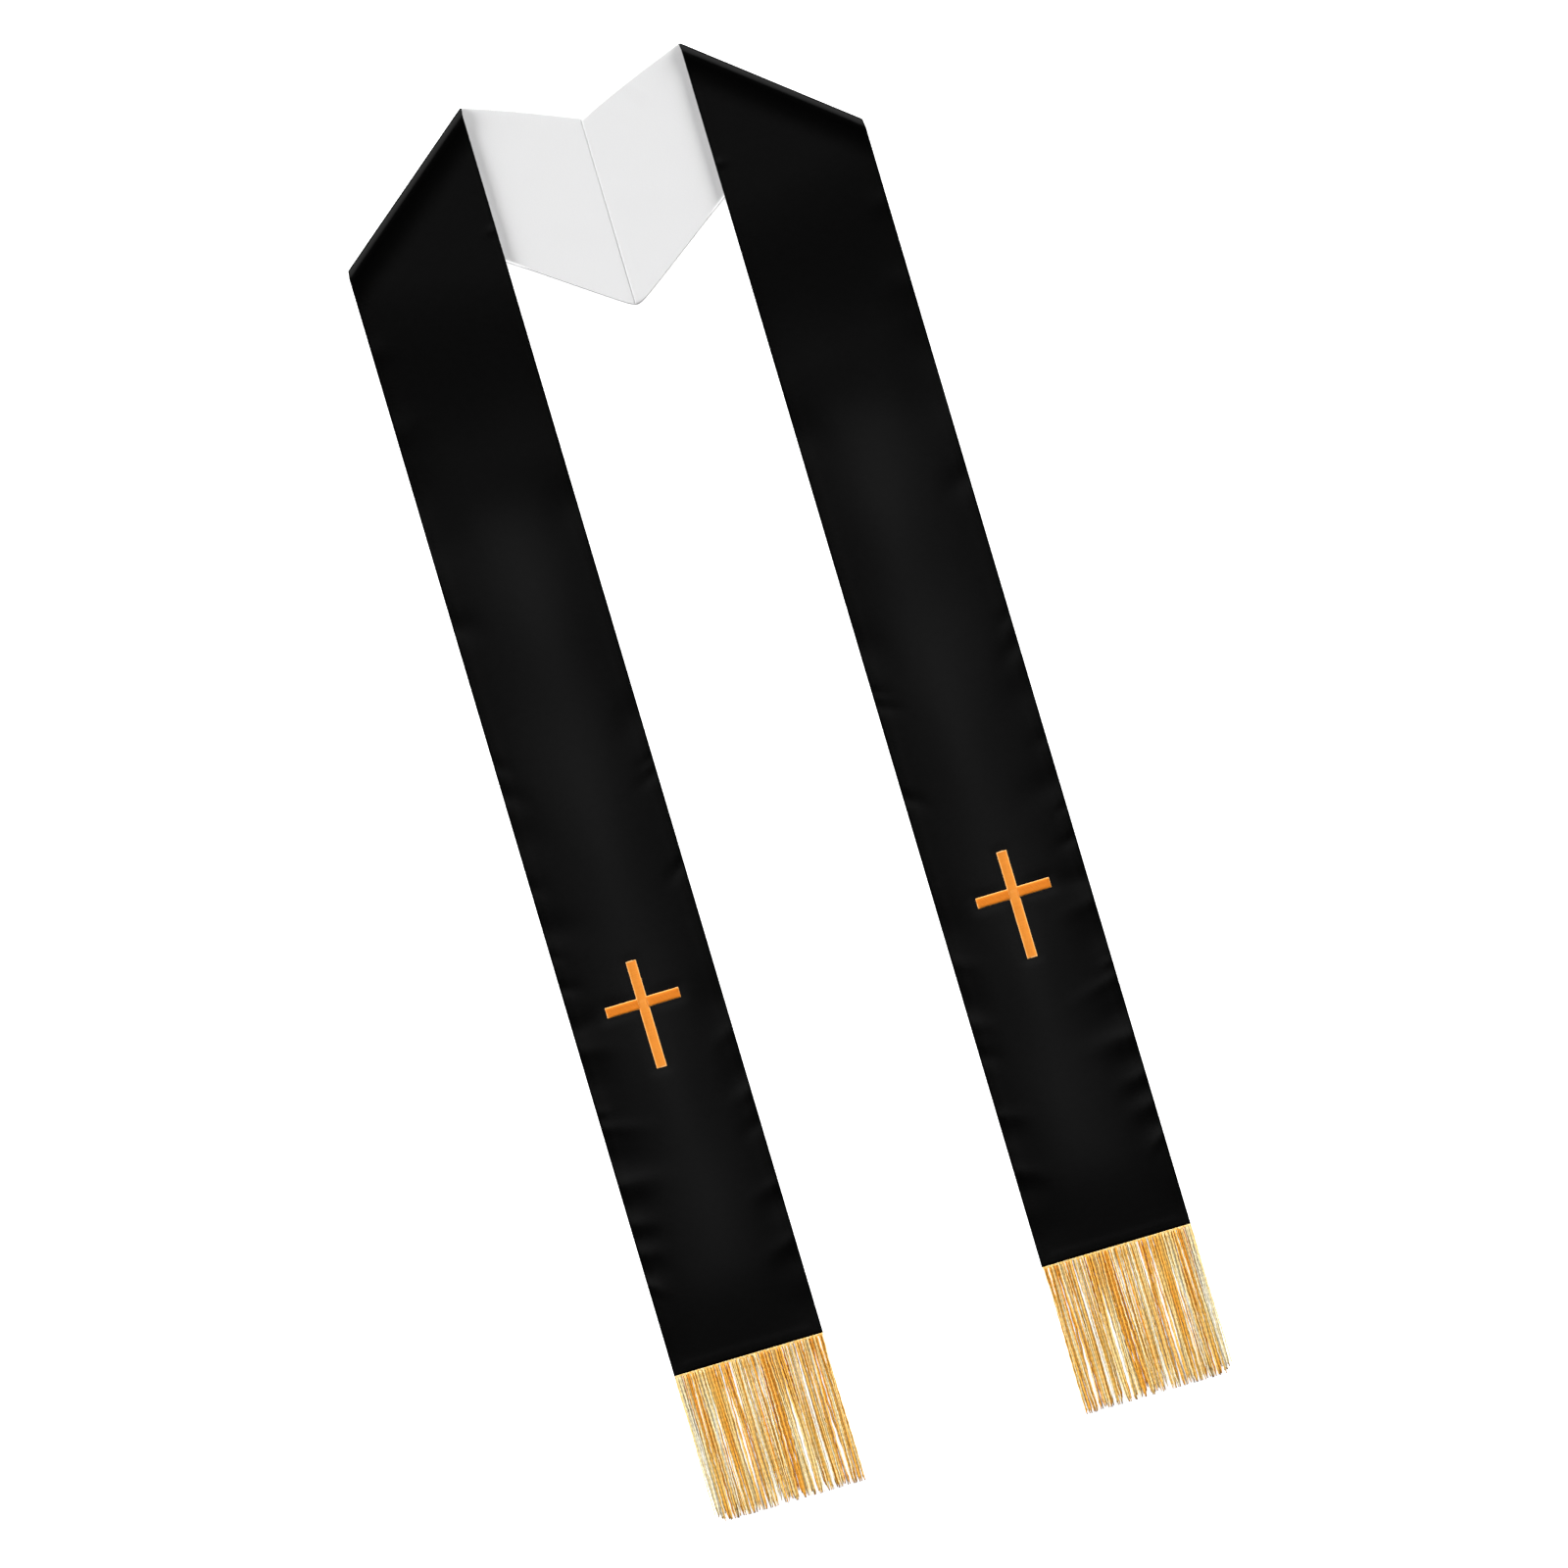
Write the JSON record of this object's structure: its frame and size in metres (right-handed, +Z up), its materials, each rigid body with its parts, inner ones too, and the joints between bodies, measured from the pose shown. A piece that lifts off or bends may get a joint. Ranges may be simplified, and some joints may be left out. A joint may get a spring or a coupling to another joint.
{
  "type": "clerical stole",
  "caption": "Satin clerical stole laid flat with folded shoulders, a lined back yoke, a cross on each lappet and fringed ends.",
  "frame": {"origin": "on the surface that the stole lies on, under the middle of the whole stole", "axes": "+Y runs from the fringed hems to the neck, +Z is up from the surface, +X is to the right of someone who looks down with the neck at the top"},
  "size_m": [0.441, 1.171, 0.0074],
  "materials": {
    "black_satin": "smooth black satin with a soft sheen",
    "white_lining": "white plain-woven lining, slightly lustrous",
    "gold_stitch": "orange-gold satin-stitch embroidery thread",
    "gold_fringe": "gold rayon fringe with paler and darker strands"
  },
  "bodies": {
    "root": {"face_left": "black_satin", "face_right": "black_satin", "lining_left": "white_lining", "lining_right": "white_lining", "cross_left": "gold_stitch", "cross_right": "gold_stitch", "fringe_left": "gold_fringe", "fringe_right": "gold_fringe"}
  },
  "joints": []
}
